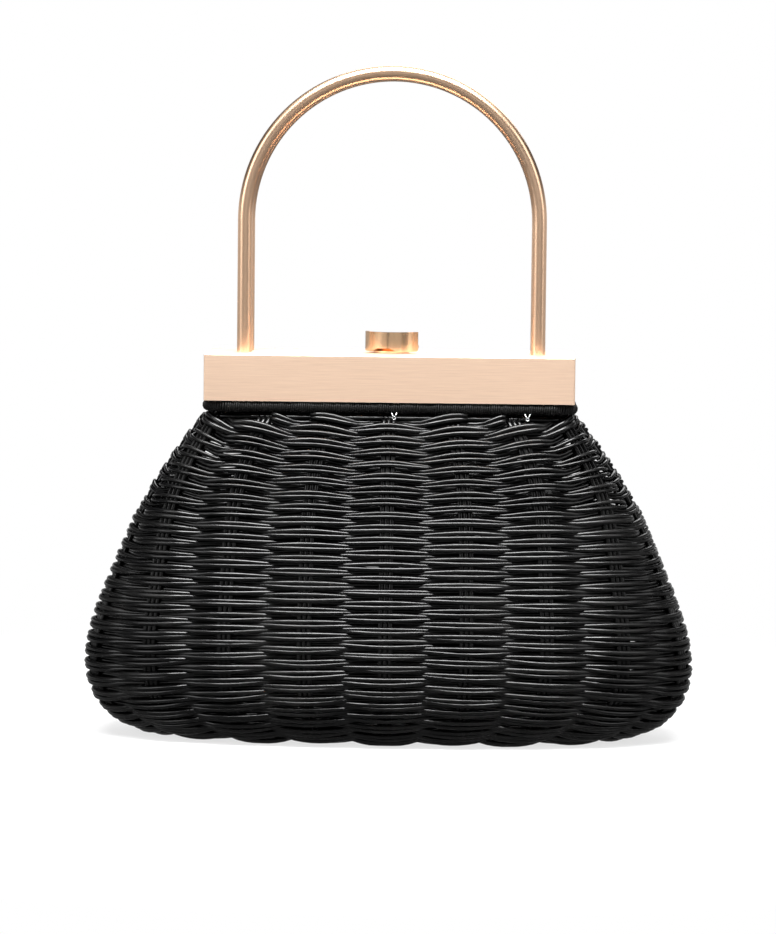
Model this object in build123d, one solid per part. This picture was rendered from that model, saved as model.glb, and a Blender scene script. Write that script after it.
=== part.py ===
from build123d import *
import os
from math import copysign, cos, pi, sin

# A small wicker handbag hung from a two-part metal frame. It stands on z = 0 with its front towards -Y,
# and its origin is the middle of its base. All sizes are in millimetres.

# Woven body: half width, half depth and height of the wall, from the base's edge up to the rim
base_edge = (97, 35, 0)
foot_curve = (114, 42, 7.5)
belly = (124.3, 47.5, 28)
flank = (114.3, 44.5, 66)
shoulder = (98.5, 38.5, 100)
rim_half_width = 75.7
rim_half_depth = 27.6
wall_thickness = 4
base_thickness = 4
weaver_rows = 27
weaver_relief = 0.9
base_squareness = 2.4
rim_squareness = 6
stakes = 32

# Gaps between the weavers, in staggered rows round the wall
gap_width = 6.5
gap_height = 1.3
gap_columns = 16
gap_rows = 6

# Side splits between the front and back panels
split_slope = 0.09
split_clearance = 0.35
edge_cane_radius = 2
rod_setback = 2

# Frame halves: folded sheet channels that meet over the middle of the bag
bar_length = 150
bar_height = 19
bar_depth = 56
bar_bottom = 139
sheet = 1.2
seam = 0.6
lip_depth = 5
fold_radius = 0.7

# Rim rods, bound with cord under the frame's lips
rim_rod_radius = 1.5
rim_cord_thickness = 0.7
rim_rod_inset = 2.2
rim_rod_bend = 9
soft_clearance = 0.3
fit_clearance = 0.05

# Side arms and their hinge
hinge_height = 100
hinge_pin_radius = 1.5
arm_end_radius = 4
arm_sheet = 1.2
arm_gap = 0.7
arm_middle_gap = 3
arm_foot = 95.3
rivet_radius = 1.2
rivet_head_radius = 2.2
rivet_head_height = 0.8
hinge_head_height = 1
hinge_washer_radius = 3

# Handles: bent tubes, each with a threaded plug, a screw and a washer at both feet
handle_radius = 60
handle_leg = 54
handle_tube_radius = 3
handle_tube_wall = 1
handle_spacing = 16
plug_length = 10
screw_radius = 1.2
screw_reach = 7
screw_head_radius = 2.3
screw_head_height = 1.4
handle_washer_radius = 3.2
washer_thickness = 0.8

# Clasp: a curved band on a low dome, turned on a stem with a cam under the frame
tongue_half_width = 14
tongue_reach = 8
tongue_clearance = 0.4
knob_radius = 11.75
knob_wall = 1.5
knob_height = 8
knob_arc = 160
knob_centre = 2.5
knob_yaw = -20
knob_arch_width = 10
knob_arch_height = 1.8
knob_corner = 1.2
knob_floor = 1.2
knob_lift = 0.7
dome_radius = 7.4
dome_height = 1.8
stem_radius = 2
stem_head_radius = 3.2
stem_head_height = 0.9
stem_square = 2.6
stem_thread_radius = 1.2
turning_clearance = 0.2
spring_washer_radius = 4.2
spring_washer_thickness = 0.9
cam_half_length = 13
cam_half_width = 3
cam_thickness = 1.6
nut_across_flats = 5
nut_height = 2.2
keeper_half_width = 11
keeper_depth = 7
keeper_thickness = 0.9
keeper_setback = 0.6

# Heights and places that follow from the sizes above
bar_top = bar_bottom + bar_height
plate_bottom = bar_top - sheet
rim_bound_radius = rim_rod_radius + fit_clearance + rim_cord_thickness
rim_rod_height = bar_bottom - fit_clearance - rim_bound_radius
rim_height = rim_rod_height - rim_bound_radius - soft_clearance
half_seam = seam / 2


def tube_x(radius, start, end, y, z):
    """A round bar along X between two places."""
    return Pos((start + end) / 2, y, z) * Rot(0, 90, 0) * Cylinder(radius, end - start)


def disc(radius, bottom, top, x=0, y=0):
    """An upright round bar or disc between two heights."""
    return Pos(x, y, (bottom + top) / 2) * Cylinder(radius, top - bottom)


def block(x_range, y_range, z_range):
    """A box between two places on each axis."""
    ranges = (x_range, y_range, z_range)
    centre = [(low + high) / 2 for low, high in ranges]
    return Pos(*centre) * Box(*[high - low for low, high in ranges])


def both_sides(solid):
    """The solid on the right and its mirror image on the left."""
    return [solid, mirror(solid, about=Plane.YZ)]


def at_back(solid):
    """The mirror image of a piece of the front half."""
    return mirror(solid, about=Plane.XZ)


# Woven body

def stake_place(column, half_width, half_depth, squareness):
    """Where a stake crosses an oval, which is more rectangular as squareness grows."""
    angle = 2 * pi * (column + 0.5) / stakes
    across, along = cos(angle), sin(angle)
    x = half_width * copysign(abs(across) ** (2 / squareness), across)
    y = half_depth * copysign(abs(along) ** (2 / squareness), along)
    return x, y


rim_edge = (rim_half_width, rim_half_depth, rim_height)
wall_points = [Vector(*point) for point in (base_edge, foot_curve, belly, flank, shoulder, rim_edge)]
wall_line = Edge.make_spline(wall_points, parameters=[0, 0.1, 0.25, 0.5, 0.74, 1])


def wall_size(up):
    """Half width, half depth, height and squareness of the wall at a share of its height."""
    place = wall_line.position_at(up)
    return place.X, place.Y, place.Z, base_squareness + (rim_squareness - base_squareness) * up**3


def weaver_course(step):
    """The outline of the wall at half a row of weaving: out over one stake and in behind the next."""
    half_width, half_depth, height, squareness = wall_size(step / (2 * weaver_rows))
    corners = []
    for column in range(stakes):
        wave = (-1) ** (column + step // 2) if step % 2 else 0
        inset = weaver_relief * (1 - wave)
        place = stake_place(column, half_width - inset, half_depth - inset, squareness)
        corners.append(Vector(*place, height))
    return Face(Wire.make_polygon(corners, close=True))


def hollow_course(up, height=None):
    """The outline of the hollow at a share of the wall's height."""
    half_width, half_depth, wall_height, squareness = wall_size(up)
    if height is None:
        height = wall_height
    size = half_width - wall_thickness, half_depth - wall_thickness, squareness
    corners = [Vector(*stake_place(column, *size), height) for column in range(stakes)]
    return Face(Wire.make_polygon(corners, close=True))


def woven_block():
    """Courses of reed, over and under the stakes, filled up to the middle of the bag."""
    return loft([weaver_course(step) for step in range(2 * weaver_rows + 1)], ruled=True)


def hollow():
    """The space inside the wall, above the base and out through the rim."""
    levels = [hollow_course(0.1, base_thickness)]
    levels += [hollow_course(up) for up in (0.17, 0.25, 0.4, 0.55, 0.7, 0.85)]
    levels += [hollow_course(1, rim_height + 1)]
    return loft(levels, ruled=True)


def gap_cutters():
    """Slots through the wall between neighbouring courses, staggered from row to row."""
    cutters = []
    for row in range(gap_rows):
        valley = round((row + 0.6) * weaver_rows / gap_rows) / weaver_rows
        half_width, half_depth, height, squareness = wall_size(valley)
        size = half_width - wall_thickness / 2, half_depth - wall_thickness / 2, squareness
        for column in range(row % 2, stakes, stakes // gap_columns):
            here = Vector(*stake_place(column, *size), height)
            beside = Vector(*stake_place(column + 1, *size), height)
            middle = (here + beside) / 2
            in_split = height > hinge_height - 4 * arm_end_radius and abs(middle.Y) < 4 * arm_end_radius
            if in_split and abs(middle.X) > half_width / 2:
                continue
            seat = Plane(origin=middle, x_dir=beside - here, z_dir=(0, 0, 1))
            cutters.append(seat * Box(gap_width, 4 * wall_thickness, gap_height))
    return cutters


split_foot = arm_end_radius + split_clearance
split_top = split_foot + split_slope * (rim_height - hinge_height)


def split_cutter():
    """The wedge between the front and back panels, through both ends of the bag."""
    across = 4 * rim_half_width
    foot = Pos(0, 0, hinge_height - split_foot) * Rectangle(across, 2 * split_foot)
    top = Pos(0, 0, rim_height + 1) * Rectangle(across, 2 * split_top)
    return loft([foot, top])


def edge_canes():
    """The round canes that the panels end in, two beside each split."""
    middle = wall_thickness / 2
    foot = Vector(shoulder[0] - middle, split_foot + edge_cane_radius / 2, hinge_height - arm_end_radius)
    top = Vector(rim_half_width - middle, split_top + edge_cane_radius / 2, rim_height)
    way = top - foot
    seat = Plane(origin=foot, z_dir=way)
    cane = seat * Cylinder(edge_cane_radius, way.length, align=(Align.CENTER, Align.CENTER, Align.MIN))
    cane -= Pos(top.X, top.Y, rim_height + edge_cane_radius) * Box(*3 * [2 * edge_cane_radius])
    half_turn = Rot(0, 0, 180)
    return [cane, at_back(cane), half_turn * cane, half_turn * at_back(cane)]


basket = woven_block() + edge_canes() - hollow() - split_cutter() - gap_cutters()


# Rim rods and the cord round them

rod_side = bar_length / 2 - rim_rod_inset + sheet
rod_front = bar_depth / 2 - rim_rod_inset
rod_end = split_top + rod_setback
rod_path = FilletPolyline(
    (-rod_side, -rod_end, rim_rod_height),
    (-rod_side, -rod_front, rim_rod_height),
    (rod_side, -rod_front, rim_rod_height),
    (rod_side, -rod_end, rim_rod_height),
    radius=rim_rod_bend,
)
rod_start = Plane(origin=rod_path @ 0, z_dir=rod_path % 0)
rim_rod_front = sweep(rod_start * Circle(rim_rod_radius), path=rod_path)
cord_section = Circle(rim_bound_radius) - Circle(rim_rod_radius + fit_clearance)
rim_cord_front = sweep(rod_start * cord_section, path=rod_path)


# Frame halves

def channel():
    """A folded sheet with a face, a top, two ends and a lip along the face's lower edge."""
    half = bar_length / 2
    body = block((-half, half), (-bar_depth / 2, -half_seam), (bar_bottom, bar_top))
    front_corners = body.edges().filter_by(Axis.Z).group_by(Axis.Y)[0]
    front_fold = body.faces().sort_by(Axis.Z)[-1].edges().sort_by(Axis.Y)[0]
    body = fillet([*front_corners, front_fold], fold_radius)
    hollow_front = sheet - bar_depth / 2
    body -= block((sheet - half, half - sheet), (hollow_front, 0), (bar_bottom - 1, plate_bottom))
    lip = block(
        (sheet - half, half - sheet),
        (hollow_front, hollow_front + lip_depth),
        (bar_bottom, bar_bottom + sheet),
    )
    return body + lip


handle_feet = [(-handle_radius, -handle_spacing / 2), (handle_radius, -handle_spacing / 2)]
rivet_height = plate_bottom - bar_height / 3
split_arm_edge = arm_end_radius + split_slope * (rivet_height - hinge_height)
rivet_y = -(split_arm_edge + arm_middle_gap / 2) / 2
end_inside = bar_length / 2 - sheet


def drilled(frame):
    """The frame half with its handle holes and its rivet holes."""
    for x, y in handle_feet:
        frame -= disc(screw_radius + fit_clearance, plate_bottom - 1, bar_top + 1, x, y)
    hole = tube_x(rivet_radius, end_inside - 1, bar_length / 2 + 1, rivet_y, rivet_height)
    for cutter in both_sides(hole):
        frame -= cutter
    return frame


tongue = block(
    (-tongue_half_width, tongue_half_width), (-half_seam - sheet, tongue_reach), (plate_bottom, bar_top)
)
notch_half_width = tongue_half_width + tongue_clearance
notch = block(
    (-notch_half_width, notch_half_width), (0, tongue_reach + tongue_clearance), (plate_bottom - 1, bar_top + 1)
)
stem_hole = disc(stem_radius + fit_clearance, plate_bottom - 1, bar_top + 1)
half_channel = drilled(channel())
frame_front = half_channel + tongue - stem_hole
frame_back = at_back(half_channel) - notch
keeper_front = tongue_reach + tongue_clearance + keeper_setback
keeper = block(
    (-keeper_half_width, keeper_half_width),
    (keeper_front, keeper_front + keeper_depth),
    (plate_bottom - keeper_thickness, plate_bottom),
)
keeper = fillet(keeper.edges().filter_by(Axis.Z), keeper_depth / 4)


# Side arms, their rivets and the hinge

def right_arm(foot_x):
    """A flat arm bent from the hinge up along the wall to the inside of the frame's end."""
    tab_x = end_inside - arm_sheet / 2
    bend_foot = hinge_height + arm_end_radius + split_clearance
    bend_top = rim_height + soft_clearance
    line = Polyline(
        (foot_x, hinge_height - 2 * arm_end_radius),
        (foot_x, bend_foot),
        (tab_x, bend_top),
        (tab_x, plate_bottom - soft_clearance),
    )
    strip = extrude(Plane.XZ * trace(line, arm_sheet), amount=bar_depth / 2, both=True)
    outer_top = arm_end_radius + split_slope * (plate_bottom - hinge_height)
    outline = make_face(
        Polyline(
            (-arm_end_radius, hinge_height),
            (-outer_top, plate_bottom),
            (-arm_middle_gap / 2, plate_bottom),
            (-arm_middle_gap / 2, hinge_height + 2 * arm_end_radius),
            (arm_end_radius * 0.8, hinge_height + arm_end_radius * 0.6),
            close=True,
        )
    )
    outline += Pos(0, hinge_height) * Circle(arm_end_radius)
    outline -= Pos(0, hinge_height) * Circle(hinge_pin_radius + fit_clearance)
    outline -= Pos(rivet_y, rivet_height) * Circle(rivet_radius)
    return strip & extrude(Plane.YZ * outline, amount=bar_length)


back_arm_foot = arm_foot - arm_sheet - arm_gap
arm_front_right = right_arm(arm_foot)
arm_back_right = at_back(right_arm(back_arm_foot))

rivet_head_end = end_inside - arm_sheet
rivet = tube_x(rivet_radius, rivet_head_end, bar_length / 2, rivet_y, rivet_height)
rivet += tube_x(rivet_head_radius, rivet_head_end - rivet_head_height, rivet_head_end, rivet_y, rivet_height)

pin_head_inside = arm_foot + arm_sheet / 2 + turning_clearance
washer_outside = back_arm_foot - arm_sheet / 2 - turning_clearance
pin_end = washer_outside - washer_thickness - turning_clearance
hinge_pin = tube_x(hinge_pin_radius, pin_end, pin_head_inside, 0, hinge_height)
hinge_pin += tube_x(arm_end_radius, pin_head_inside, pin_head_inside + hinge_head_height, 0, hinge_height)
hinge_washer = tube_x(hinge_washer_radius, washer_outside - washer_thickness, washer_outside, 0, hinge_height)
hinge_washer -= tube_x(hinge_pin_radius + fit_clearance, pin_end, pin_head_inside, 0, hinge_height)


# Handles

arch_height = bar_top + handle_leg
handle_y = -handle_spacing / 2
handle_path = Wire(
    [
        Edge.make_line((-handle_radius, handle_y, bar_top), (-handle_radius, handle_y, arch_height)),
        Edge.make_three_point_arc(
            (-handle_radius, handle_y, arch_height),
            (0, handle_y, arch_height + handle_radius),
            (handle_radius, handle_y, arch_height),
        ),
        Edge.make_line((handle_radius, handle_y, arch_height), (handle_radius, handle_y, bar_top)),
    ]
)
tube_bore = handle_tube_radius - handle_tube_wall
foot_plane = Plane(origin=(-handle_radius, handle_y, bar_top), z_dir=(0, 0, 1))
handle_front = sweep(foot_plane * (Circle(handle_tube_radius) - Circle(tube_bore)), path=handle_path)

washer_bottom = plate_bottom - washer_thickness


def at_feet(solid):
    """One copy of a fixing at each foot of a handle."""
    return [Pos(x, y, 0) * solid for x, y in handle_feet]


plug = disc(tube_bore - fit_clearance, bar_top, bar_top + plug_length)
plug -= disc(screw_radius + fit_clearance, bar_top - 1, bar_top + screw_reach + 1)
screw = disc(screw_radius, washer_bottom, bar_top + screw_reach)
screw += disc(screw_head_radius, washer_bottom - screw_head_height, washer_bottom)
handle_washer = disc(handle_washer_radius, washer_bottom, plate_bottom)
handle_washer -= disc(screw_radius + fit_clearance, washer_bottom - 1, plate_bottom + 1)


# Clasp

def turned(solid):
    """A piece of the clasp at the angle where it was left in use."""
    return Rot(0, 0, knob_yaw) * solid


band_bottom = bar_top + knob_lift
dome_bottom = bar_top + turning_clearance
floor_bottom = dome_bottom + dome_height
floor_top = floor_bottom + knob_floor


def clasp_knob_solid():
    """A half-round band, open to the back, with a floor inside it and a shallow arch at its front."""
    centre = (0, knob_centre)
    sector = make_face(
        [
            CenterArc(centre, knob_radius, -90 - knob_arc / 2, knob_arc),
            CenterArc(centre, knob_radius - knob_wall, -90 - knob_arc / 2, knob_arc),
            Line(
                PolarLine(centre, knob_radius - knob_wall, -90 - knob_arc / 2) @ 1,
                PolarLine(centre, knob_radius, -90 - knob_arc / 2) @ 1,
            ),
            Line(
                PolarLine(centre, knob_radius - knob_wall, -90 + knob_arc / 2) @ 1,
                PolarLine(centre, knob_radius, -90 + knob_arc / 2) @ 1,
            ),
        ]
    )
    band = Pos(0, 0, band_bottom) * extrude(sector, amount=knob_height)
    corners = band.edges().filter_by(lambda edge: abs(edge.length - knob_wall) < 0.01)
    low_corners = corners.group_by(Axis.Z)[0]
    band = fillet(low_corners, knob_corner)
    arch = make_face(
        [
            Line((-knob_arch_width / 2, band_bottom), (knob_arch_width / 2, band_bottom)),
            ThreePointArc(
                (-knob_arch_width / 2, band_bottom),
                (0, band_bottom + knob_arch_height),
                (knob_arch_width / 2, band_bottom),
            ),
        ]
    )
    band -= extrude(Plane.XZ * arch, amount=2 * knob_radius)
    floor = disc(knob_radius - knob_wall / 2, floor_bottom, floor_top, y=knob_centre)
    floor &= block((-knob_radius, knob_radius), (-knob_radius, knob_centre), (floor_bottom, floor_top))
    floor += disc(dome_radius - knob_wall, floor_bottom, floor_top)
    return band + floor - disc(stem_radius + fit_clearance, bar_top, bar_top + knob_height)


clasp_knob = turned(clasp_knob_solid())

dome_profile = make_face(
    [
        Line((stem_radius + fit_clearance, dome_bottom), (dome_radius, dome_bottom)),
        Line((dome_radius, dome_bottom), (dome_radius, dome_bottom + dome_height / 3)),
        ThreePointArc(
            (dome_radius, dome_bottom + dome_height / 3),
            (dome_radius * 0.85, dome_bottom + dome_height * 0.8),
            (dome_radius - knob_wall, floor_bottom),
        ),
        Line((dome_radius - knob_wall, floor_bottom), (stem_radius + fit_clearance, floor_bottom)),
        Line((stem_radius + fit_clearance, floor_bottom), (stem_radius + fit_clearance, dome_bottom)),
    ]
)
clasp_dome = revolve(Plane.XZ * dome_profile, Axis.Z)

spring_washer_top = plate_bottom - turning_clearance
spring_washer_bottom = spring_washer_top - spring_washer_thickness
cam_bottom = spring_washer_bottom - cam_thickness
nut_bottom = cam_bottom - nut_height
clasp_stem = disc(stem_radius, spring_washer_bottom, floor_top)
clasp_stem += disc(stem_head_radius, floor_top, floor_top + stem_head_height)
half_square = stem_square / 2
clasp_stem += block((-half_square, half_square), (-half_square, half_square), (cam_bottom, spring_washer_bottom))
clasp_stem += disc(stem_thread_radius, nut_bottom - turning_clearance, cam_bottom)
clasp_stem = turned(clasp_stem)
clasp_washer = disc(spring_washer_radius, spring_washer_bottom, spring_washer_top)
clasp_washer -= disc(stem_radius + fit_clearance, spring_washer_bottom - 1, spring_washer_top + 1)
cam_outline = SlotOverall(2 * cam_half_length, 2 * cam_half_width) - Rectangle(
    stem_square + 2 * fit_clearance, stem_square + 2 * fit_clearance
)
clasp_cam = turned(Pos(0, 0, cam_bottom) * extrude(cam_outline, amount=cam_thickness))
nut_outline = RegularPolygon(nut_across_flats / 2, 6, major_radius=False) - Circle(stem_thread_radius + fit_clearance)
clasp_nut = turned(Pos(0, 0, nut_bottom) * extrude(nut_outline, amount=nut_height))


# Every separate piece, by the name of its node
pieces = {
    "basket": [basket],
    "frame_front": [frame_front],
    "frame_back": [frame_back],
    "keeper": [keeper],
    "hinge_pins": both_sides(hinge_pin),
    "hinge_washers": both_sides(hinge_washer),
    "clasp_knob": [clasp_knob],
    "clasp_dome": [clasp_dome],
    "clasp_stem": [clasp_stem],
    "clasp_washer": [clasp_washer],
    "clasp_cam": [clasp_cam],
    "clasp_nut": [clasp_nut],
    "arm_front_right": [arm_front_right],
    "arm_front_left": [mirror(arm_front_right, about=Plane.YZ)],
    "arm_back_right": [arm_back_right],
    "arm_back_left": [mirror(arm_back_right, about=Plane.YZ)],
}
front_pieces = {
    "rim_rod": [rim_rod_front],
    "rim_cord": [rim_cord_front],
    "arm_rivets": both_sides(rivet),
    "handle": [handle_front],
    "handle_plugs": at_feet(plug),
    "handle_screws": at_feet(screw),
    "handle_washers": at_feet(handle_washer),
}
for name, solids in front_pieces.items():
    pieces[name + "_front"] = solids
    pieces[name + "_back"] = [at_back(solid) for solid in solids]

os.makedirs("parts", exist_ok=True)
for name, solids in pieces.items():
    bodies = [body for solid in solids for body in solid.solids()]
    export_step(bodies[0] if len(bodies) == 1 else Compound(children=bodies), f"parts/{name}.step")
    print(name, len(bodies), "solid" if len(bodies) == 1 else "solids")
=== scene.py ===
import math

import bpy
import numpy as np
from mathutils import Matrix, Vector


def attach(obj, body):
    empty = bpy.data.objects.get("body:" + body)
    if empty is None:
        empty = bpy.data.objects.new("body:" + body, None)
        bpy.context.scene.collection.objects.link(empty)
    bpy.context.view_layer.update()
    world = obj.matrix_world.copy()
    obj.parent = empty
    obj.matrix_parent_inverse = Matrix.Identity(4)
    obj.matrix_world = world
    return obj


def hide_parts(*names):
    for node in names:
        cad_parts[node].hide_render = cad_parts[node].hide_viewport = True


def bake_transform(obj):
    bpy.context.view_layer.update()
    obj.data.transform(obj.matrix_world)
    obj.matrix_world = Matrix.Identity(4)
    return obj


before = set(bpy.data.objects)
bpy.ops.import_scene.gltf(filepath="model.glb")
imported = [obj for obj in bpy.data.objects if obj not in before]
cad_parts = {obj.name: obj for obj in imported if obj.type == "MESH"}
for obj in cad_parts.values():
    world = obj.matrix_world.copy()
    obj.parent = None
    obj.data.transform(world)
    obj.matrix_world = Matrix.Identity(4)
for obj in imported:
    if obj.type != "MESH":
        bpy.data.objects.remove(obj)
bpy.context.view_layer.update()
bpy.ops.object.select_all(action="DESELECT")
print("frame loaded:", len(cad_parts), "nodes")

mm = 0.001


class Wire:  # a socket of a shader that can be written in sums
    def __init__(self, tree, socket=None):
        self.tree = tree
        self.socket = socket

    def add(self, kind, inputs=None, settings=None, output=0):
        node = self.tree.nodes.new(kind)
        for name, value in (settings or {}).items():
            setattr(node, name, value)
        for name, value in (inputs or {}).items():
            if isinstance(value, Wire):
                self.tree.links.new(value.socket, node.inputs[name])
            else:
                node.inputs[name].default_value = value
        return Wire(self.tree, node.outputs[output])

    def sibling(self, output):
        # another output of the same node
        return Wire(self.tree, self.socket.node.outputs[output])

    def maths(self, operation, first, second=0.0):
        return self.add("ShaderNodeMath", {0: first, 1: second}, {"operation": operation})

    def __add__(self, other):
        return self.maths("ADD", self, other)

    def __radd__(self, other):
        return self.maths("ADD", other, self)

    def __sub__(self, other):
        return self.maths("SUBTRACT", self, other)

    def __rsub__(self, other):
        return self.maths("SUBTRACT", other, self)

    def __mul__(self, other):
        return self.maths("MULTIPLY", self, other)

    def __rmul__(self, other):
        return self.maths("MULTIPLY", other, self)

    def __abs__(self):
        return self.maths("ABSOLUTE", self)

    def clamped(self):
        return self.add("ShaderNodeClamp", {0: self})

    def blend(self, low, high):
        # a colour between two, by this value
        colours = {0: self, 6: (*low, 1), 7: (*high, 1)}
        return self.add("ShaderNodeMix", colours, {"data_type": "RGBA"}, 2)

    def noise(self, place, scale, detail=3.0, roughness=0.5):
        look = {"Vector": place, "Scale": scale, "Detail": detail, "Roughness": roughness}
        return self.add("ShaderNodeTexNoise", look)


def newMaterial(name, constants):
    material = bpy.data.materials.new(name)
    material.use_nodes = True
    shader = material.node_tree.nodes["Principled BSDF"]
    for socket, value in constants.items():
        shader.inputs[socket].default_value = value
    return material, Wire(material.node_tree), shader


def feed(wires, shader, links, height, strength, distance):
    for socket, value in links.items():
        wires.tree.links.new(value.socket, shader.inputs[socket])
    relief = {"Strength": strength, "Distance": distance, "Height": height}
    bump = wires.add("ShaderNodeBump", relief)
    wires.tree.links.new(bump.socket, shader.inputs["Normal"])


def stretched(wires, scale=(1, 1, 1), source="Object"):
    # the piece's own coordinates, drawn out along its axes; "UV" runs along a reed and round it
    place = wires.add("ShaderNodeTexCoord", output=source)
    return wires.add("ShaderNodeMapping", {"Vector": place, "Scale": scale})


# black lacquered reed: fine fibres along it, and dull where the lacquer has dried out
reedFinish = {
    "shade": (0.0005, 0.0005, 0.0006),
    "dry": (0.004, 0.0038, 0.0036),
    "fibres": (70.0, 9.0, 1),
    "dryPatches": 38.0,
    "dryStart": 0.72,
    "smoothest": 0.13,
    "roughest": 0.38,
    "gloss": 0.36,
    "grooves": (0.4, 0.00011),
}


def reedMaterial(name, finish):
    material, wires, shader = newMaterial(name, {"Specular IOR Level": finish["gloss"]})
    along = stretched(wires, finish["fibres"], "UV")
    strand = wires.add("ShaderNodeAttribute", settings={"attribute_name": "strand"}, output=2)
    shift = wires.add("ShaderNodeCombineXYZ", {"X": strand * 31.0, "Y": strand * 17.0, "Z": strand * 53.0})
    place = wires.add("ShaderNodeVectorMath", {0: along, 1: shift}, {"operation": "ADD"})
    fibre = wires.noise(place, 1.0, 5.0, 0.65)
    hairs = wires.noise(place, 3.1, 3.0, 0.7)
    dryness = wires.noise(stretched(wires), finish["dryPatches"], 2.0)
    worn = (fibre * 0.6 + dryness * 0.9 + strand * 0.22 - finish["dryStart"]).clamped() * 1.9
    colour = worn.clamped().blend(finish["shade"], finish["dry"])
    rough = finish["smoothest"] + (hairs * 0.35 + worn) * (finish["roughest"] - finish["smoothest"])
    looks = {"Base Color": colour, "Roughness": rough.clamped()}
    feed(wires, shader, looks, fibre * 0.7 + hairs * 0.5, *finish["grooves"])
    return material


# black waxed cord, twisted from fine threads
cordFinish = {
    "shade": (0.0008, 0.0008, 0.0008),
    "light": (0.006, 0.0055, 0.005),
    "threads": (260, 3, 1),
    "gloss": 0.25,
    "grooves": (0.5, 0.00015),
}


def cordMaterial(name, finish):
    material, wires, shader = newMaterial(name, {"Specular IOR Level": finish["gloss"]})
    twist = wires.noise(stretched(wires, finish["threads"], "UV"), 1.0)
    looks = {"Base Color": twist.blend(finish["shade"], finish["light"]), "Roughness": 0.34 + twist * 0.4}
    feed(wires, shader, looks, twist, *finish["grooves"])
    return material


# champagne gold sheet, brushed along the bar
barFinish = {
    "light": (0.99, 0.745, 0.57),
    "dark": (0.88, 0.645, 0.485),
    "grain": (62, 1500, 2300),
    "wideGrain": (9, 260, 420),
    "clouds": 16.0,
    "scratches": (0.16, 0.00006),
}


def brushedMaterial(name, finish):
    material, wires, shader = newMaterial(name, {"Metallic": 1.0})
    grain = wires.noise(stretched(wires, finish["grain"]), 1.0, 4.0, 0.6)
    wideGrain = wires.noise(stretched(wires, finish["wideGrain"]), 1.0, 2.0)
    cloud = wires.noise(stretched(wires), finish["clouds"], 2.0)
    tone = ((grain - 0.5) * 2.6 + (wideGrain - 0.5) * 0.3 + 0.45).clamped()
    rough = 0.44 + grain * 0.16 + cloud * 0.05
    looks = {"Base Color": tone.blend(finish["light"], finish["dark"]), "Roughness": rough}
    feed(wires, shader, looks, grain, *finish["scratches"])
    return material


# satin metals: the tubes, the clasp, the screws and the wire
satinFinishes = {
    "satinHandle": {"light": (0.92, 0.64, 0.44), "dark": (0.76, 0.49, 0.32), "rough": 0.22},
    "polishedClasp": {"light": (0.90, 0.63, 0.40), "dark": (0.70, 0.45, 0.26), "rough": 0.12},
    "zincScrew": {"light": (0.62, 0.62, 0.61), "dark": (0.42, 0.42, 0.42), "rough": 0.3},
    "silverWire": {"light": (0.80, 0.80, 0.80), "dark": (0.55, 0.56, 0.57), "rough": 0.2},
}
satinGrain = {"fine": 900.0, "streaks": (500, 500, 26), "clouds": 30.0, "scratches": (0.12, 0.00005)}


def satinMaterial(name):
    finish = satinFinishes[name]
    material, wires, shader = newMaterial(name, {"Metallic": 1.0})
    fine = wires.noise(stretched(wires), satinGrain["fine"])
    streaks = wires.noise(stretched(wires, satinGrain["streaks"]), 1.0)
    cloud = wires.noise(stretched(wires), satinGrain["clouds"])
    tone = (fine * 0.35 + streaks * 0.35 + cloud * 0.5 - 0.18).clamped()
    rough = finish["rough"] + fine * 0.08 + cloud * 0.08
    looks = {"Base Color": tone.blend(finish["light"], finish["dark"]), "Roughness": rough}
    feed(wires, shader, looks, fine * 0.5 + streaks * 0.5, *satinGrain["scratches"])
    return material


# black painted steel with a faint orange peel
paintFinish = {
    "shade": (0.012, 0.012, 0.012),
    "chipped": (0.035, 0.034, 0.033),
    "peel": 700.0,
    "chips": 120.0,
    "gloss": 0.45,
    "peelRelief": (0.3, 0.00008),
}


def paintedMaterial(name, finish):
    material, wires, shader = newMaterial(name, {"Specular IOR Level": finish["gloss"]})
    peel = wires.noise(stretched(wires), finish["peel"])
    chips = wires.noise(stretched(wires), finish["chips"], 5.0, 0.7)
    colour = ((chips - 0.55) * 4.0).clamped().blend(finish["shade"], finish["chipped"])
    feed(wires, shader, {"Base Color": colour, "Roughness": 0.34 + chips * 0.25}, peel, *finish["peelRelief"])
    return material


blackReed = reedMaterial("blackReed", reedFinish)
blackCord = cordMaterial("blackCord", cordFinish)
brushedBar = brushedMaterial("brushedBar", barFinish)
satinHandle, polishedClasp, zincScrew, silverWire = [satinMaterial(name) for name in satinFinishes]
blackSteel = paintedMaterial("blackSteel", paintFinish)
print("finishes ready")

# the frame's own pieces get a finish by how their names start, the first match first
finishOf = {
    "frame_": brushedBar,
    "handle_f": satinHandle,
    "handle_b": satinHandle,
    "clasp_knob": polishedClasp,
    "clasp_dome": polishedClasp,
    "clasp_stem": polishedClasp,
    "clasp_": zincScrew,
    "handle_": zincScrew,
    "keeper": blackSteel,
    "arm_": blackSteel,
    "hinge_": blackSteel,
    "rim_rod": blackReed,
    "rim_cord": blackCord,
    "basket": blackReed,
}
for node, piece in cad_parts.items():
    piece.data.materials.clear()
    piece.data.materials.append(next(finish for start, finish in finishOf.items() if node.startswith(start)))
print("frame pieces finished")

# the woven wall's shape, the same as the source's: half width, half depth and height in mm
wall = {
    "base": (97, 35, 0),
    "foot": (114, 42, 7.5),
    "belly": (124.3, 47.5, 28),
    "flank": (114.3, 44.5, 66),
    "shoulder": (98.5, 38.5, 100),
    "rim": (75.7, 27.6, 134.15),
    "shares": (0, 0.1, 0.25, 0.5, 0.74, 1),
    "squareness": (2.4, 6),
    "splitFoot": 4.35,
    "splitSlope": 0.09,
    "splitBottom": 95.65,
    "hinge": 100,
}
rimHeight = wall["rim"][2]
shareSteps = 161
lineSteps = 1201


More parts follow.
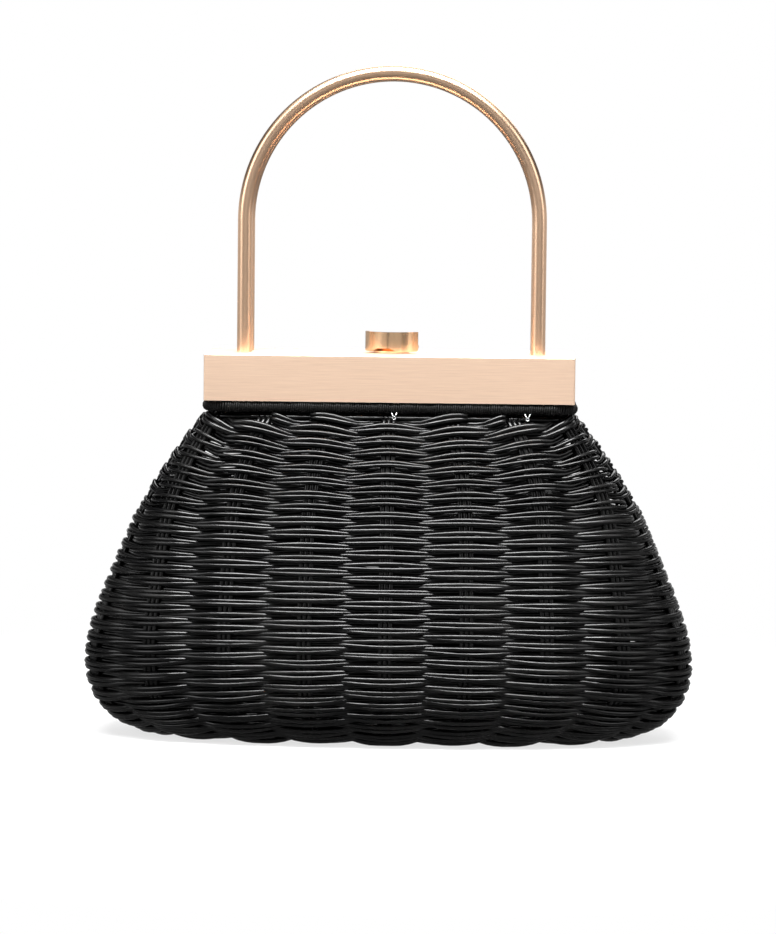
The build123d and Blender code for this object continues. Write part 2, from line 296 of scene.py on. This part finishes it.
def smoothThrough(shares, values, at):
    # a natural cubic line through values given at shares
    shares, values = np.array(shares, float), np.array(values, float)
    count, step = len(shares), np.diff(shares)
    system, right = np.eye(count), np.zeros(count)
    for i in range(1, count - 1):
        system[i, i - 1 : i + 2] = step[i - 1], 2 * (step[i - 1] + step[i]), step[i]
        right[i] = 6 * ((values[i + 1] - values[i]) / step[i] - (values[i] - values[i - 1]) / step[i - 1])
    bend = np.linalg.solve(system, right)
    i = np.clip(np.searchsorted(shares, at) - 1, 0, count - 2)
    h, before, after = step[i], shares[i + 1] - at, at - shares[i]
    return (
        (bend[i] * before**3 + bend[i + 1] * after**3) / (6 * h)
        + (values[i] / h - bend[i] * h / 6) * before
        + (values[i + 1] / h - bend[i + 1] * h / 6) * after
    )


corners = [wall[name] for name in ("base", "foot", "belly", "flank", "shoulder", "rim")]
fineShares = np.linspace(0, 1, lineSteps)
lineX, lineY, lineZ = (
    smoothThrough(wall["shares"], [corner[i] for corner in corners], fineShares) for i in range(3)
)
lineZ = np.maximum.accumulate(lineZ + np.arange(lineSteps) * 1e-7)
stepLengths = np.sqrt(np.diff(lineX) ** 2 + np.diff(lineY) ** 2 + np.diff(lineZ) ** 2)
upShare = np.concatenate([[0], np.cumsum(stepLengths)]) / stepLengths.sum()
frontLength = np.concatenate([[0], np.cumsum(np.sqrt(np.diff(lineY) ** 2 + np.diff(lineZ) ** 2))])
quarterTurn = np.linspace(0, math.pi / 2, 2001)


def quarterOf(halfWidth, halfDepth, squareness):
    # points at even steps along a quarter oval, from the middle of the front to the middle of the end
    x = np.nan_to_num(halfWidth * np.sin(quarterTurn) ** (2 / squareness))
    y = np.nan_to_num(halfDepth * np.cos(quarterTurn) ** (2 / squareness))
    run = np.concatenate([[0], np.cumsum(np.hypot(np.diff(x), np.diff(y)))])
    even = np.linspace(0, run[-1], shareSteps)
    return np.interp(even, run, x), np.interp(even, run, y), run[-1]


# the quarter oval at every level, to look places up in
levels = np.linspace(0, rimHeight, 269)
quarterX = np.zeros((len(levels), shareSteps))
quarterY = np.zeros_like(quarterX)
quarterRun = np.zeros(len(levels))
squareFoot, squareRim = wall["squareness"]
for i, level in enumerate(levels):
    squareness = squareFoot + (squareRim - squareFoot) * np.interp(level, lineZ, upShare) ** 3
    sizes = np.interp(level, lineZ, lineX), np.interp(level, lineZ, lineY)
    quarterX[i], quarterY[i], quarterRun[i] = quarterOf(*sizes, squareness)

# the weave in mm; pairs of numbers in the tables are heights and the values at them
weave = {
    "rows": 55,
    "columns": 18,
    "reed": (0.365, 0.72, 1.35),  # radius as a share of the rows' pitch, the least and the most
    "pairGap": (0.22, 0.37),  # behind a stake and over it, as shares of the rows' pitch
    "lift": 1.72,
    "swingShape": 0.6,
    "inset": ((0, 6, 28, 100, 120, 134.15), (2.9, 1.9, 1.2, 1.3, 1.6, 2.1)),
    "tilt": (
        (0, 12, 20, 36, 66, 85, 95, 105, 115, 125, 134.15),
        (0, -4.5, -6.5, -3.5, 0, 0.6, 2.2, 5.6, 10.6, 15.6, 20),
    ),
    "bowOver": ((0, 30, 60, 80, 100, 134.15), (-0.75, -0.35, -0.1, 0.25, 0.8, 1.3)),
    "bowBehind": ((0, 30, 60, 80, 100, 134.15), (-0.8, -0.2, 0.1, 0.5, 1.4, 2.0)),
    "bowShape": 1.5,
    "bowAtEnd": 0.6,
    "tiltReach": 3.6,
    "tiltShape": 2.1,
    "thickness": (0.92, 1.08),
    "widestGap": 0.98,
    "wander": 0.2,
    "bulge": 0.12,
    "ripple": (0.12, 1.7, 2.1),  # its height, and how fast it runs along the row and from row to row
    "floorGap": 0.95,
    "splitClearance": 0.6,
    "pointsPerStake": 8,
    "sides": 8,
    "turnRoom": 2.75,
    "topShares": (0, 0.262, 0.518, 0.745),
}
# the columns of a panel are counted from its middle, with a stake at each whole number
perStake = weave["pointsPerStake"]
lastStake = 4
halfColumns = 4.5
backMiddle = 9
allRound = (-halfColumns, weave["columns"] - halfColumns)


def eased(value):
    value = np.clip(value, 0, 1)
    return value * value * (3 - 2 * value)


def shareAt(column, height):
    # where a stake stands along the quarter, 0 at the middle of the front and 1 at the middle of the end
    run = np.interp(height, levels, quarterRun)
    split = wall["splitFoot"] + wall["splitSlope"] * np.maximum(height - wall["hinge"], -4)
    edgeTop = 1 - (split + weave["turnRoom"]) / run
    fan, edge = eased((height - 25) / 105), eased((height - 50) / 45)
    places = [(1 - fan) * (k / halfColumns) + fan * weave["topShares"][k] for k in range(lastStake)]
    places.append((1 - edge) * (lastStake / halfColumns) + edge * edgeTop)
    places.append(np.ones_like(height))
    steps = np.array([0, 1, 2, 3, lastStake, halfColumns])
    result = np.zeros_like(height)
    for i in range(5):
        inside = (column >= steps[i]) & (column <= steps[i + 1])
        part = (column - steps[i]) / (steps[i + 1] - steps[i])
        result = np.where(inside, places[i] * (1 - part) + places[i + 1] * part, result)
    return result


def panelColumn(column):
    # the column counted from the middle of its own panel, and whether that is the back one
    column = (np.asarray(column, float) + halfColumns) % weave["columns"] - halfColumns
    back = column > halfColumns
    return np.where(back, backMiddle - column, column), back


def wallPoint(column, height):
    # a point of the wall's outer face; column runs round the bag from 0 at the middle of the front
    local, back = panelColumn(column)
    height = np.clip(np.asarray(height, float) + 0 * local, 0, rimHeight)
    row = height / levels[-1] * (len(levels) - 1)
    low = np.clip(row.astype(int), 0, len(levels) - 2)
    part = row - low
    at = shareAt(np.abs(local), height) * (shareSteps - 1)
    left = np.clip(at.astype(int), 0, shareSteps - 2)
    beside = at - left

    def look(grid):
        bottom = grid[low, left] * (1 - beside) + grid[low, left + 1] * beside
        top = grid[low + 1, left] * (1 - beside) + grid[low + 1, left + 1] * beside
        return bottom * (1 - part) + top * part

    x = look(quarterX) * np.sign(local + 1e-9)
    y = look(quarterY) * np.where(back, 1, -1)
    return np.stack([x, y, height], axis=-1)


def unit(way):
    return way / np.maximum(np.linalg.norm(way, axis=-1, keepdims=True), 1e-9)


def wallFrame(column, height):
    # point, outward, along and up at a place of the wall
    sideStep, upStep = 0.12, 0.6
    column = np.asarray(column, float)
    height = np.clip(np.asarray(height, float) + 0 * column, upStep, rimHeight - upStep)
    point = wallPoint(column, height)
    along = unit(wallPoint(column + sideStep, height) - wallPoint(column - sideStep, height))
    up = unit(wallPoint(column, height + upStep) - wallPoint(column, height - upStep))
    outward = unit(np.cross(along, up))
    return point, outward, along, unit(np.cross(outward, along))


def across(points, closed):
    # two directions across a line at each point, which turn as little as they can
    if closed:
        way = unit(np.roll(points, -1, 0) - np.roll(points, 1, 0))
    else:
        way = unit(np.gradient(points, axis=0))
    side = np.zeros_like(points)
    if abs(way[0, 2]) < 0.8:
        guess = np.array([0, 0, 1.0])
    else:
        guess = np.array([points[0, 0], points[0, 1], 0.01])
    for i in range(len(points)):
        guess = guess - way[i] * np.dot(guess, way[i])
        guess = guess / max(np.linalg.norm(guess), 1e-9)
        side[i] = guess
    return side, np.cross(way, side)


def sweptMesh(name, strands, sides, material):
    # strands: (points in mm, radius or radii in mm, closed); a round section is carried along each
    vertices, faces, faceUvs, marks = [], [], [], []
    start = 0
    angles = np.linspace(0, 2 * math.pi, sides, endpoint=False)[None, :, None]
    for number, (points, radius, closed) in enumerate(strands):
        points = np.asarray(points, float)
        count = len(points)
        side, other = across(points, closed)
        radii = np.broadcast_to(np.asarray(radius, float), (count,))[:, None, None]
        ring = side[:, None, :] * np.cos(angles) + other[:, None, :] * np.sin(angles)
        vertices.append((points[:, None, :] + radii * ring).reshape(-1, 3))
        steps = np.roll(points, -1, 0) - points if closed else np.diff(points, axis=0)
        run = np.concatenate([[0], np.cumsum(np.linalg.norm(steps, axis=1))]) * mm
        here = np.arange(len(steps))
        near, far = start + here * sides, start + (here + 1) % count * sides
        for i in range(sides):
            after = (i + 1) % sides
            faces.append(np.stack([near + i, near + after, far + after, far + i], 1))
            uv = np.zeros((len(steps), 4, 2))
            uv[:, :2, 0] = run[here][:, None]
            uv[:, 2:, 0] = run[here + 1][:, None]
            uv[:, (0, 3), 1] = i / sides
            uv[:, (1, 2), 1] = (i + 1) / sides
            faceUvs.append(uv)
        if not closed:
            firstRing = [start + i for i in reversed(range(sides))]
            lastRing = [start + (count - 1) * sides + i for i in range(sides)]
            for cap in (firstRing, lastRing):
                for i in range(1, sides - 1):
                    faces.append(np.array([[cap[0], cap[i], cap[i + 1], -1]]))
                    faceUvs.append(np.zeros((1, 4, 2)))
        marks.append(np.full(count * sides, number * 0.6180339 % 1.0))
        start += count * sides
    faces = np.concatenate(faces)
    loops = faces.reshape(-1)
    used = loops >= 0
    totals = np.where(faces[:, 3] < 0, 3, 4)
    loopStarts = np.concatenate([[0], np.cumsum(totals)[:-1]]).astype(np.int32)
    places = (np.concatenate(vertices) * mm).astype(np.float32)
    mesh = bpy.data.meshes.new(name)
    mesh.vertices.add(len(places))
    mesh.vertices.foreach_set("co", places.reshape(-1))
    mesh.loops.add(int(totals.sum()))
    mesh.loops.foreach_set("vertex_index", loops[used].astype(np.int32))
    mesh.polygons.add(len(faces))
    mesh.polygons.foreach_set("loop_start", loopStarts)
    mesh.polygons.foreach_set("use_smooth", np.ones(len(faces), bool))
    mesh.update(calc_edges=True)
    uvValues = np.concatenate(faceUvs).reshape(-1, 2)[used].astype(np.float32)
    mesh.uv_layers.new(name="reedRun").data.foreach_set("uv", uvValues.reshape(-1))
    strandMark = mesh.attributes.new("strand", "FLOAT", "POINT")
    strandMark.data.foreach_set("value", np.concatenate(marks).astype(np.float32))
    mesh.validate()
    mesh.materials.append(material)
    piece = bpy.data.objects.new(name, mesh)
    bpy.context.scene.collection.objects.link(piece)
    print(name, int((totals - 2).sum()), "triangles")
    return piece


def rowHeight(row, column):
    # level in the middle, higher at the ends of the top rows and lower at the ends of the bottom ones
    middle = np.interp((row + 0.5) / weave["rows"] * frontLength[-1], frontLength, lineZ)
    local, _ = panelColumn(column)
    reach = np.clip(np.abs(local) / weave["tiltReach"], 0, 1) ** weave["tiltShape"]
    return middle + np.interp(middle, *weave["tilt"]) * reach


def rowPitch(row, columns):
    # how far apart the rows are there, along the wall
    above = wallPoint(columns, rowHeight(row + 1, columns))
    below = wallPoint(columns, rowHeight(row - 1, columns))
    return np.linalg.norm(above - below, axis=-1) / 2


def reedRadius(row, columns, thickness):
    share, least, most = weave["reed"]
    return np.clip(share * rowPitch(row, columns), least, most) * thickness


def insetAt(height):
    return np.interp(height, *weave["inset"])


def wandering(rng, columns, closed, spread):
    # a gentle drift with one chance value for each stake
    knots = np.arange(math.floor(columns.min()), math.ceil(columns.max()) + 2)
    drift = rng.normal(0, spread, len(knots))
    if closed:
        drift[-1] = drift[0]
    return np.interp(columns, knots, drift)


def weaverLine(row, strand, columns, closed, rng):
    # one reed of a pair, out over one stake and in behind the next
    height = rowHeight(row, columns)
    point, outward, along, up = wallFrame(columns, height)
    phase = np.cos(math.pi * (columns + row))
    swing = np.sign(phase) * np.abs(phase) ** weave["swingShape"]
    wander = wandering(rng, columns, closed, weave["wander"])
    bulge = wandering(rng, columns, closed, weave["bulge"])
    local, _ = panelColumn(columns)
    nearEnd = np.clip(np.abs(local) / weave["tiltReach"], 0, 1) ** 2
    over = np.interp(height, *weave["bowOver"])
    behind = np.interp(height, *weave["bowBehind"]) * (1 + weave["bowAtEnd"] * nearEnd)
    bow = np.where(phase > 0, over, behind) * np.abs(phase) ** weave["bowShape"]
    close, wide = weave["pairGap"]
    gap = (close + (wide - close) * np.clip(phase, 0, 1)) * rowPitch(row, columns)
    gap = np.minimum(gap, weave["widestGap"] * reedRadius(row, columns, 1))
    rippleHeight, alongRow, fromRow = weave["ripple"]
    ripple = rippleHeight * np.sin(columns * alongRow + row * fromRow + strand)
    rise = strand * gap + wander + bow + ripple
    depth = (weave["lift"] + bulge) * swing - insetAt(height)
    line = point + outward * depth[:, None] + up * rise[:, None]
    line[:, 2] = np.maximum(line[:, 2], weave["floorGap"])
    return line


# rows below the splits go right round
lowerTop = wall["splitBottom"] - weave["splitClearance"]
atEnd = np.array([halfColumns])
splitRow = next(row for row in range(weave["rows"]) if rowHeight(row, atEnd)[0] > lowerTop)
rng = np.random.default_rng(5)
ringColumns = np.linspace(*allRound, weave["columns"] * perStake, endpoint=False)
lowerStrands = []
for row in range(splitRow):
    for strand in (-1, 1):
        radius = reedRadius(row, ringColumns, rng.uniform(*weave["thickness"]))
        lowerStrands.append((weaverLine(row, strand, ringColumns, True, rng), radius, True))
print("rows below the split:", splitRow, "of", weave["rows"])

# above them each panel's rows go to and fro round its edge canes
panel = {
    "middles": {"front": 0, "back": backMiddle},
    "weaver": 0.78,
    "thickness": (0.94, 1.08),
    "topRow": 132.6,
    "edgeCane": 1.55,
    "turnClearance": 0.72,
    "rimReed": 0.95,
    "rimReeds": ((133.3, 2.2), (133.4, 3.9), (131.9, 3.3)),  # heights and insets
}
panelRows = range(splitRow, weave["rows"])


def edgeTurn(row, strand, middle, end):
    # round the edge cane, from this row to the next
    column = middle + lastStake * end
    first, second = rowHeight(row, np.array([column])), rowHeight(row + 1, np.array([column]))
    phase = 1 if (abs(column) + row) % 2 == 0 else -1
    steps = np.linspace(0, math.pi, 9)[1:-1]
    columns = np.full(len(steps), float(column))
    height = first + (second - first) * (steps / math.pi)
    point, outward, along, up = wallFrame(columns, height)
    depth = np.cos(steps) * phase * weave["lift"] - insetAt(height)
    out = np.sin(steps) * (panel["edgeCane"] + panel["turnClearance"]) * end
    rise = strand * weave["pairGap"][0] * rowPitch(row, columns)
    return point + outward * depth[:, None] + along * out[:, None] + up * rise[:, None]


def panelWeavers(middle, rng):
    # whole rows as one reed to and fro, shorter rows under the rim, and the reeds that fill in at the rim
    strands = []
    allColumns = np.linspace(middle - lastStake, middle + lastStake, 2 * lastStake * perStake + 1)
    reach = {row: allColumns[rowHeight(row, allColumns) < panel["topRow"]] for row in panelRows}
    whole = [row for row in panelRows if len(reach[row]) == len(allColumns)]
    short = [row for row in panelRows if 0 < len(reach[row]) < len(allColumns)]
    for strand in (-1, 1):
        line = []
        for i, row in enumerate(whole):
            direction = 1 if i % 2 == 0 else -1
            line.append(weaverLine(row, strand, reach[row][::direction], False, rng))
            if row != whole[-1]:
                line.append(edgeTurn(row, strand, middle, direction))
        strands.append((np.concatenate(line), panel["weaver"], False))
        for row in short:
            radius = reedRadius(row, reach[row], rng.uniform(*panel["thickness"]))
            strands.append((weaverLine(row, strand, reach[row], False, rng), radius, False))
    for height, inset in panel["rimReeds"]:
        point, outward, along, up = wallFrame(allColumns, height)
        strands.append((point - outward * inset, panel["rimReed"], False))
    return strands


panelStrands = {side: panelWeavers(middle, rng) for side, middle in panel["middles"].items()}
print("weavers laid")

# the base: rings of paired reeds round the ends of the stakes, and three canes along it
base = {
    "middle": 2.7,
    "rings": 10,
    "outerInset": 1.6,
    "ringPitch": 3.1,
    "squareness": 2.4,
    "lift": 1.2,
    "swingShape": 0.75,
    "reed": 0.66,
    "thickness": (0.92, 1.1),
    "pointsPerStake": 6,
    "spineHalf": 66,
    "spineCane": 1.1,
    "spinePlaces": (-2.2, 0, 2.2),
}
baseOvals = {}
evenShares = np.linspace(0, 1, shareSteps)


def basePoint(column, inset):
    # a point of the base's ovals; inset is how far in from its edge
    local, back = panelColumn(column)
    key = round(float(inset), 3)
    if key not in baseOvals:
        baseOvals[key] = quarterOf(wall["base"][0] - inset, wall["base"][1] - inset, base["squareness"])
    ovalX, ovalY, _ = baseOvals[key]
    share = np.abs(local) / halfColumns
    x = np.interp(share, evenShares, ovalX) * np.sign(local + 1e-9)
    y = np.interp(share, evenShares, ovalY) * np.where(back, 1, -1)
    return np.stack([x, y, np.zeros_like(x)], axis=-1)


baseStrands = []
baseColumns = np.linspace(*allRound, weave["columns"] * base["pointsPerStake"], endpoint=False)
for ring in range(base["rings"]):
    inset = base["outerInset"] + ring * base["ringPitch"]
    phase = np.cos(math.pi * (baseColumns + ring + 1))
    swing = np.sign(phase) * np.abs(phase) ** base["swingShape"]
    for strand in (-1, 1):
        line = basePoint(baseColumns, inset + strand * base["reed"])
        line[:, 2] = base["middle"] - base["lift"] * swing
        baseStrands.append((line, base["reed"] * rng.uniform(*base["thickness"]), True))
for y in base["spinePlaces"]:
    spine = np.array([[x, y, base["middle"]] for x in np.linspace(-base["spineHalf"], base["spineHalf"], 30)])
    baseStrands.append((spine, base["spineCane"], False))

# stakes in threes, from under the base up to the rim, and to the splits' foot beside them
stake = {
    "cane": 1.0,
    "thickness": (0.94, 1.05),
    "spread": 2.0,
    "top": 133.4,
    "topAtSplit": 97.5,
    "turnHeights": (1.2, 2.4, 4, 6),
    "wallStart": 8.5,
    "underInsets": (30.5, 26, 21, 16, 11, 7, 4),
    "edgeCane": (93.5, 133.6),
}


def stakeLine(column, place, top):
    heights = np.concatenate([stake["turnHeights"], np.linspace(stake["wallStart"], top, 34)])
    point, outward, along, up = wallFrame(np.full(len(heights), float(column)), heights)
    wallPart = point - outward * insetAt(heights)[:, None] + along * place
    insets = stake["underInsets"]
    under = np.concatenate([basePoint([column], inset) for inset in insets])
    beside = [basePoint([column + 0.05], inset) - basePoint([column - 0.05], inset) for inset in insets]
    gather = np.linspace(0.45, 1, len(insets))[:, None]
    under = under + unit(np.concatenate(beside)) * place * gather
    under[:, 2] = base["middle"]
    return np.concatenate([under, wallPart])


for side, middle in panel["middles"].items():
    for column in range(middle - lastStake, middle + lastStake + 1):
        atSplit = abs(column - middle) == lastStake
        top = stake["topAtSplit"] if atSplit else stake["top"]
        for cane in (-1, 0, 1):
            line = stakeLine(column, cane * stake["spread"], top)
            panelStrands[side].append((line, stake["cane"] * rng.uniform(*stake["thickness"]), False))
        if atSplit:
            heights = np.linspace(*stake["edgeCane"], 16)
            point, outward, along, up = wallFrame(np.full(len(heights), float(column)), heights)
            line = point - outward * insetAt(heights)[:, None]
            panelStrands[side].append((line, panel["edgeCane"], False))

for name, strands in (("wicker_lower", lowerStrands), ("wicker_base", baseStrands)):
    piece = sweptMesh(name, strands, weave["sides"], blackReed)
    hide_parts("basket")
    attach(piece, "body")
for side, strands in panelStrands.items():
    piece = sweptMesh("wicker_" + side, strands, weave["sides"], blackReed)
    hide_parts("basket")
    side + "_jaw"
    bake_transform(piece)
print("basket woven")

# the cord wound round each rim rod
rim = {
    "rod": 1.5,
    "cord": 0.42,
    "pitch": 0.86,
    "height": 136.7,
    "side": 74.0,
    "front": 25.8,
    "end": 9.4,
    "bend": 9.0,
    "step": 0.25,
    "pointsPerTurn": 11,
    "slip": 1.1,
    "swell": (-0.22, 0.3),
    "sides": 5,
}


def rodLine():
    # the rod's line from one end to the other, with rounded corners
    side, front, end, bend, step = (rim[name] for name in ("side", "front", "end", "bend", "step"))
    arc = np.linspace(math.pi, 1.5 * math.pi, int(bend * math.pi / 2 / step) + 2)
    points = [(-side, -y) for y in np.arange(end, front - bend, step)]
    points += [(-side + bend + bend * math.cos(a), -front + bend + bend * math.sin(a)) for a in arc]
    points += [(x, -front) for x in np.arange(-side + bend + step, side - bend - step / 2, step)]
    arc = arc + math.pi / 2
    points += [(side - bend + bend * math.cos(a), -front + bend + bend * math.sin(a)) for a in arc]
    points += [(side, y) for y in np.arange(-front + bend + step, -end + 0.01, step)]
    return np.array([(x, y, rim["height"]) for x, y in points])


def windingLine(rng):
    # the cord's middle, which slips and swells a little from turn to turn
    line = rodLine()
    run = np.concatenate([[0], np.cumsum(np.linalg.norm(np.diff(line, axis=0), axis=1))])
    turns = run[-1] / rim["pitch"]
    at = np.linspace(0, 1, int(turns * rim["pointsPerTurn"]))
    centre = np.stack([np.interp(at * run[-1], run, line[:, i]) for i in range(3)], 1)
    up = np.array([0, 0, 1.0])
    side = unit(np.cross(unit(np.gradient(centre, axis=0)), up))
    slip = np.interp(at, np.linspace(0, 1, 60), rng.normal(0, rim["slip"], 60))
    swell = np.interp(at, np.linspace(0, 1, 150), rng.uniform(*rim["swell"], 150))
    angle = (at * turns * 2 * math.pi + slip)[:, None]
    radius = (rim["rod"] + rim["cord"] * 0.8 + swell)[:, None]
    return centre + radius * (np.cos(angle) * side + np.sin(angle) * up)


for side, sign in (("front", 1), ("back", -1)):
    line = windingLine(rng) * np.array([1, sign, 1])
    piece = sweptMesh("rim_binding_" + side, [(line, rim["cord"], False)], rim["sides"], blackCord)
    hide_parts("rim_cord_" + side)
    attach(piece, side + "_jaw")
print("rims bound")

# wire ties that hold the front rod
tie = {
    "wire": 0.2,
    "ring": 0.6,
    "out": 2.7,
    "drop": 3.9,
    "places": (2.2, 56.0),
    "armStart": 0.3,
    "armSpread": 0.9,
    "armRise": 1.9,
    "armBack": 1.2,
}


def tieLines(x):
    # a small ring of wire under the binding, with its two arms going up into it
    depth = -rim["front"] - tie["out"]
    height = rim["height"] - tie["drop"]
    around = np.linspace(0, 2 * math.pi, 18, endpoint=False)
    ringX = x + tie["ring"] * np.cos(around)
    ringY = depth + tie["wire"] * np.sin(around)
    ringZ = height + tie["ring"] * np.sin(around)
    lines = [(np.stack([ringX, ringY, ringZ], 1), tie["wire"], True)]
    part = np.linspace(0, 1, 8)
    for side in (-1, 1):
        armX = x + side * (tie["armStart"] + tie["armSpread"] * part)
        armY = depth + tie["armBack"] * part**2
        armZ = height + tie["ring"] * 0.8 + tie["armRise"] * part
        lines.append((np.stack([armX, armY, armZ], 1), tie["wire"], False))
    return lines


piece = sweptMesh("rim_ties", [line for x in tie["places"] for line in tieLines(x)], 8, silverWire)
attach(piece, "front_jaw")
print("ties twisted")

# the floor: half matt, so that it keeps the shadow, and white to the camera further out
floor = {
    "size": 8.0,
    "drop": 0.0002,
    "colour": (0.82, 0.82, 0.82, 1),
    "glowNear": 0.72,
    "fadeFrom": 0.13,
    "fadeRate": 4.0,
    "glowInMetal": 0.22,
}
bpy.ops.object.select_all(action="DESELECT")
bpy.ops.mesh.primitive_plane_add(size=floor["size"], location=(0, 0, -floor["drop"]))
ground = bpy.context.object
ground.name = "floor"
material = bpy.data.materials.new("paleFloor")
material.use_nodes = True
material.node_tree.nodes.clear()
wires = Wire(material.node_tree)
camera = wires.add("ShaderNodeLightPath", output="Is Camera Ray")
glossy = camera.sibling("Is Glossy Ray")
spot = wires.add("ShaderNodeTexCoord", output="Object")
distance = wires.add("ShaderNodeVectorMath", {0: spot}, {"operation": "LENGTH"}, "Value")
fade = ((distance - floor["fadeFrom"]) * floor["fadeRate"]).clamped()
shown = camera * (floor["glowNear"] + fade * (1 - floor["glowNear"])) + glossy
matte = wires.add("ShaderNodeBsdfDiffuse", {"Color": floor["colour"]})
strength = camera + glossy * floor["glowInMetal"]
glow = wires.add("ShaderNodeEmission", {"Color": (1, 1, 1, 1), "Strength": strength})
mixed = wires.add("ShaderNodeMixShader", {0: shown.clamped(), 1: matte, 2: glow})
surface = material.node_tree.nodes.new("ShaderNodeOutputMaterial")
material.node_tree.links.new(mixed.socket, surface.inputs["Surface"])
ground.data.materials.append(material)

# the studio: white to the camera, plain to matt surfaces, and to metal a pale band with a pale top
studio = {
    "plain": 0.62,
    "band": 0.95,
    "bandNarrowness": 5.0,
    "topFrom": 0.55,
    "topRate": 3.0,
    "top": 0.6,
    "rest": 0.03,
}
world = bpy.data.worlds.new("studio")
bpy.context.scene.world = world
world.use_nodes = True
world.node_tree.nodes.clear()
wires = Wire(world.node_tree)
camera = wires.add("ShaderNodeLightPath", output="Is Camera Ray")
glossy = camera.sibling("Is Glossy Ray")
through = camera.sibling("Is Transmission Ray")
facing = wires.add("ShaderNodeTexCoord", output="Generated")
upward = wires.add("ShaderNodeSeparateXYZ", {0: facing}, output="Z")
band = (1 - abs(upward) * studio["bandNarrowness"]).clamped() * studio["band"]
top = ((upward - studio["topFrom"]) * studio["topRate"]).clamped() * studio["top"]
inMetal = glossy * (band + top + studio["rest"])
onMatt = (1 - (camera + through + glossy).clamped()) * studio["plain"]
strength = (camera + through).clamped() + inMetal + onMatt
background = wires.add("ShaderNodeBackground", {"Color": (1, 1, 1, 1), "Strength": strength})
surface = world.node_tree.nodes.new("ShaderNodeOutputWorld")
world.node_tree.links.new(background.socket, surface.inputs["Surface"])

lamps = {
    "top": {"place": (0.0, -0.45, 1.15), "size": (1.1, 0.5), "power": 50.0},
    "left": {"place": (-1.1, -0.7, 0.65), "size": (0.5, 0.9), "power": 5.0},
    "right": {"place": (1.1, -0.6, 0.6), "size": (0.5, 0.9), "power": 3.5},
    "back": {"place": (0.2, 0.9, 0.8), "size": (0.9, 0.5), "power": 5.0},
}
lampAim = Vector((0, 0, 0.1))
for name, lamp in lamps.items():
    data = bpy.data.lights.new(name, "AREA")
    data.shape = "RECTANGLE"
    data.size, data.size_y = lamp["size"]
    data.energy = lamp["power"]
    light = bpy.data.objects.new(name, data)
    bpy.context.scene.collection.objects.link(light)
    light.location = lamp["place"]
    light.rotation_mode = "QUATERNION"
    light.rotation_quaternion = (lampAim - Vector(lamp["place"])).to_track_quat("-Z", "Y")

# dark cards that only the metal and the lacquer mirror
cards = {
    "cardRight": {"place": (1.0, -0.9, 0.35), "aim": (0, 0, 0.2), "size": (0.7, 1.1), "shade": 0.06},
    "cardLeft": {"place": (-0.5, -1.2, 0.35), "aim": (0, 0, 0.2), "size": (0.2, 1.0), "shade": 0.06},
    "cardLow": {"place": (0.0, -0.62, 0.015), "aim": (0.0, -0.62, 1), "size": (1.6, 0.36), "shade": 0.10},
}
for name, card in cards.items():
    bpy.ops.object.select_all(action="DESELECT")
    bpy.ops.mesh.primitive_plane_add(size=1, location=card["place"])
    sheet = bpy.context.object
    sheet.name = name
    sheet.scale = (*card["size"], 1)
    sheet.rotation_mode = "QUATERNION"
    sheet.rotation_quaternion = (Vector(card["aim"]) - Vector(card["place"])).to_track_quat("Z", "Y")
    for ray in ("camera", "diffuse", "shadow", "transmission"):
        setattr(sheet, "visible_" + ray, False)
    dark = {"Base Color": (card["shade"], card["shade"], card["shade"], 1), "Roughness": 1}
    sheet.data.materials.append(newMaterial(name, dark)[0])

shot = {"place": (0.045, -1.5, 0.225), "yaw": 1.754, "pitch": 4.35, "roll": 0.6, "lens": 140.9}
yaw, pitch, roll = (math.radians(shot[name]) for name in ("yaw", "pitch", "roll"))
ahead = Vector((-math.sin(yaw) * math.cos(pitch), math.cos(yaw) * math.cos(pitch), -math.sin(pitch)))
data = bpy.data.cameras.new("camera")
data.lens = shot["lens"]
data.sensor_width = 36
data.clip_start = 0.05
eye = bpy.data.objects.new("camera", data)
bpy.context.scene.collection.objects.link(eye)
eye.location = shot["place"]
eye.rotation_mode = "QUATERNION"
look = ahead.to_track_quat("-Z", "Y").to_matrix() @ Matrix.Rotation(roll, 3, "Z")
eye.rotation_quaternion = look.to_quaternion()
bpy.context.scene.camera = eye
bpy.context.scene.view_settings.view_transform = "Standard"
print("studio ready")

bpy.context.view_layer.update()
